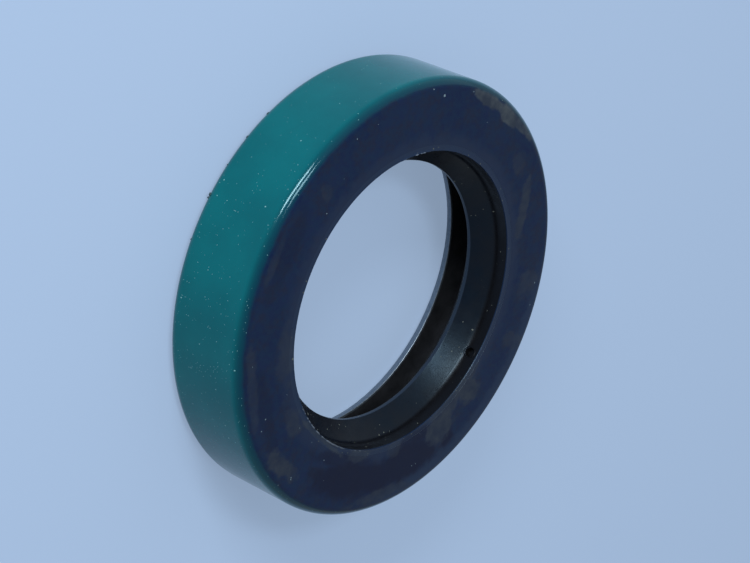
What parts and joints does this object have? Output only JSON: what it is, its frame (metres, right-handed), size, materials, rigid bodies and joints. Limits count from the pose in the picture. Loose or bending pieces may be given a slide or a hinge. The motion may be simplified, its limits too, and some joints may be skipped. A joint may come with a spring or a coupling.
{
  "type": "radial shaft seal",
  "caption": "Metal-cased radial shaft seal: green-coated pressed steel case, inner case rolled in behind it, black rubber lip with a garter spring. For a 38.1 mm shaft in a 60.3 mm bore.",
  "frame": {"origin": "on the seal's axis, at the rolled rear rim that it lies on", "axes": "+Z along the axis towards the closed face, +X and +Y square to it"},
  "size_m": [0.0604, 0.0604, 0.0127],
  "materials": {
    "case_coat": "glossy green bore coat over the rim, thinning to a blue-black face",
    "case_steel": "dark oiled steel with a bare punched edge",
    "lip_rubber": "satin moulded nitrile rubber",
    "spring_wire": "drawn spring steel wire"
  },
  "bodies": {
    "root": {"outer_case": "case_coat", "inner_case": "case_steel", "sealing_lip": "lip_rubber", "garter_spring": "spring_wire"}
  },
  "joints": []
}
